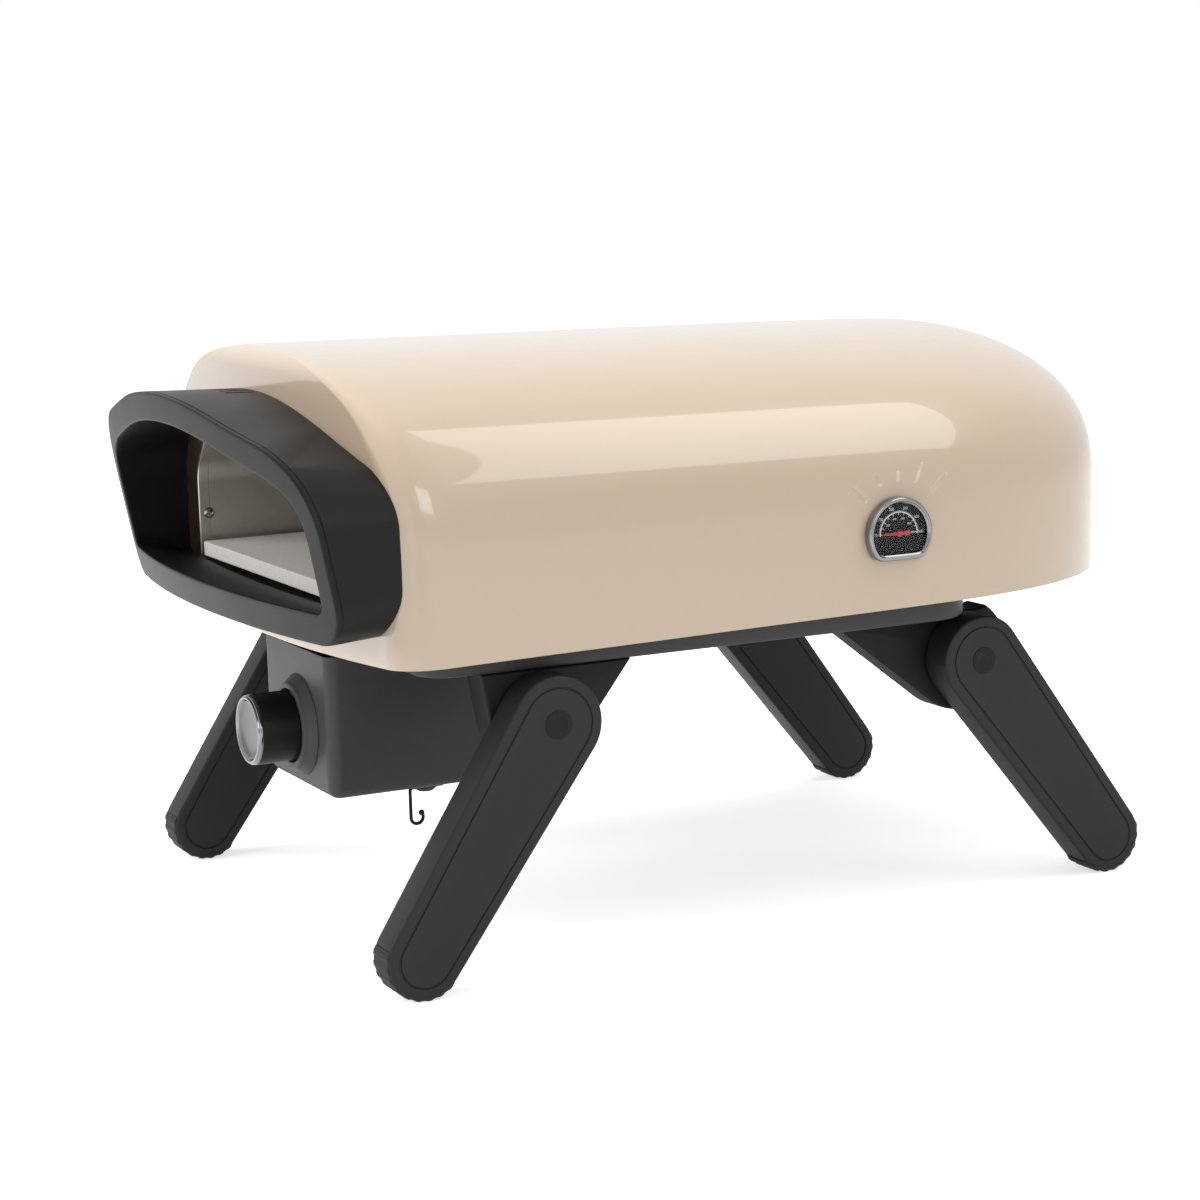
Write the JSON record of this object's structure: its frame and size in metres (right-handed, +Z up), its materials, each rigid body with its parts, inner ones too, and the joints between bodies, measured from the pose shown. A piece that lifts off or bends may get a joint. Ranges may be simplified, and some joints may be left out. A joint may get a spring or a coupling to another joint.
{
  "type": "portable pizza oven",
  "caption": "Portable gas pizza oven: cream enamelled hood, dark mouth frame, stone floor, gas box with knob, round-topped thermometer and folding legs.",
  "frame": {"origin": "on the floor, under the middle of the oven", "axes": "+Z up, the mouth faces -Y, the thermometer side is +X"},
  "size_m": [0.4603, 0.6914, 0.4035],
  "materials": {
    "cream_enamel": "gloss baked enamel",
    "dark_satin": "satin, near black",
    "brushed_steel": "brushed, heat tinted",
    "dark_steel": "dark oxide, matt",
    "grey_paint": "satin powder coat",
    "black_paint": "matt black",
    "leg_plastic": "fine grained",
    "foot_rubber": "matt, ribbed",
    "stone": "dry cordierite",
    "insulation_wool": "mineral wool",
    "chrome": "polished",
    "satin_metal": "satin",
    "brass": "machined",
    "dial_black": "matt black print",
    "needle_red": "red",
    "clear_glass": "clear",
    "ceramic_white": "glazed",
    "lead_sleeve": "silicone sleeve"
  },
  "bodies": {
    "oven": {"hood": "cream_enamel", "mouth_frame": "dark_satin", "liner_arch": "brushed_steel", "liner_back": "brushed_steel", "stone_rest_left": "brushed_steel", "stone_rest_right": "brushed_steel", "burner_tube": "brushed_steel", "burner_bracket_left": "brushed_steel", "burner_bracket_right": "brushed_steel", "burner_guard": "brushed_steel", "mixing_tube": "brushed_steel", "chamber_floor": "dark_steel", "mouth_baffle": "dark_steel", "hook_saddle": "dark_steel", "base_tray": "grey_paint", "gas_box": "grey_paint", "knob_collar": "grey_paint", "dial_case": "black_paint", "leg_bracket_front_left": "black_paint", "leg_bracket_front_right": "black_paint", "leg_bracket_rear_left": "black_paint", "leg_bracket_rear_right": "black_paint", "pivot_pin_front_left": "black_paint", "pivot_pin_front_right": "black_paint", "pivot_pin_rear_left": "black_paint", "pivot_pin_rear_right": "black_paint", "insulation": "insulation_wool", "dial_bezel": "chrome", "gas_pipe": "satin_metal", "dial_stem": "satin_metal", "dial_nut": "satin_metal", "liner_screw_left": "satin_metal", "liner_screw_right": "satin_metal", "gas_valve": "brass", "gas_inlet": "brass", "gas_jet": "brass", "dial_plate": "dial_black", "dial_lens": "clear_glass", "igniter_electrode": "ceramic_white", "igniter_lead": "lead_sleeve"},
    "leg_front_left": {"leg_front_left": "leg_plastic", "foot_pad_front_left": "foot_rubber"},
    "leg_front_right": {"leg_front_right": "leg_plastic", "foot_pad_front_right": "foot_rubber"},
    "leg_rear_left": {"leg_rear_left": "leg_plastic", "foot_pad_rear_left": "foot_rubber"},
    "leg_rear_right": {"leg_rear_right": "leg_plastic", "foot_pad_rear_right": "foot_rubber"},
    "spindle_push": {"spindle_cap": "satin_metal"},
    "knob": {"valve_spindle": "brass", "control_knob": "dark_satin", "knob_ring": "chrome", "knob_face": "satin_metal"},
    "needle": {"dial_needle": "needle_red"},
    "hook": {"wire_hook": "black_paint"},
    "stone": {"pizza_stone": "stone"}
  },
  "joints": [
    {"name": "fold_front_left", "type": "hinge", "parent": "oven", "child": "leg_front_left", "pos_m": [-0.2284, -0.15982, 0.168], "axis": [1, 0, 0], "range_deg": [0, 124.5]},
    {"name": "fold_front_right", "type": "hinge", "parent": "oven", "child": "leg_front_right", "pos_m": [0.2284, -0.15982, 0.168], "axis": [1, 0, 0], "range_deg": [0, 124.5]},
    {"name": "fold_rear_left", "type": "hinge", "parent": "oven", "child": "leg_rear_left", "pos_m": [-0.1961, 0.18618, 0.168], "axis": [-1, 0, 0], "range_deg": [0, 127.2]},
    {"name": "fold_rear_right", "type": "hinge", "parent": "oven", "child": "leg_rear_right", "pos_m": [0.1961, 0.18618, 0.168], "axis": [-1, 0, 0], "range_deg": [0, 127.2]},
    {"name": "knob_push", "type": "slide", "parent": "oven", "child": "spindle_push", "axis": [0, 1, 0], "range_m": [0, 0.003], "stiffness_N_per_m": 600, "springref_m": -0.002},
    {"name": "knob_turn", "type": "hinge", "parent": "spindle_push", "child": "knob", "pos_m": [0.0273, -0.27432, 0.1458], "axis": [0, -1, 0], "range_deg": [0, 180]},
    {"name": "needle_turn", "type": "hinge", "parent": "oven", "child": "needle", "pos_m": [0.2274, 0.09768, 0.2689], "axis": [-1, 0, 0], "range_deg": [0, 180], "stiffness_Nm_per_rad": 0.001},
    {"name": "hook_swing", "type": "hinge", "parent": "oven", "child": "hook", "pos_m": [0.0655, -0.19782, 0.0999], "axis": [0, 1, 0], "range_deg": [-50, 50]},
    {"name": "stone_lift_out", "type": "slide", "parent": "oven", "child": "stone", "axis": [0, -0.9744, 0.225], "range_m": [0, 0.26]}
  ]
}
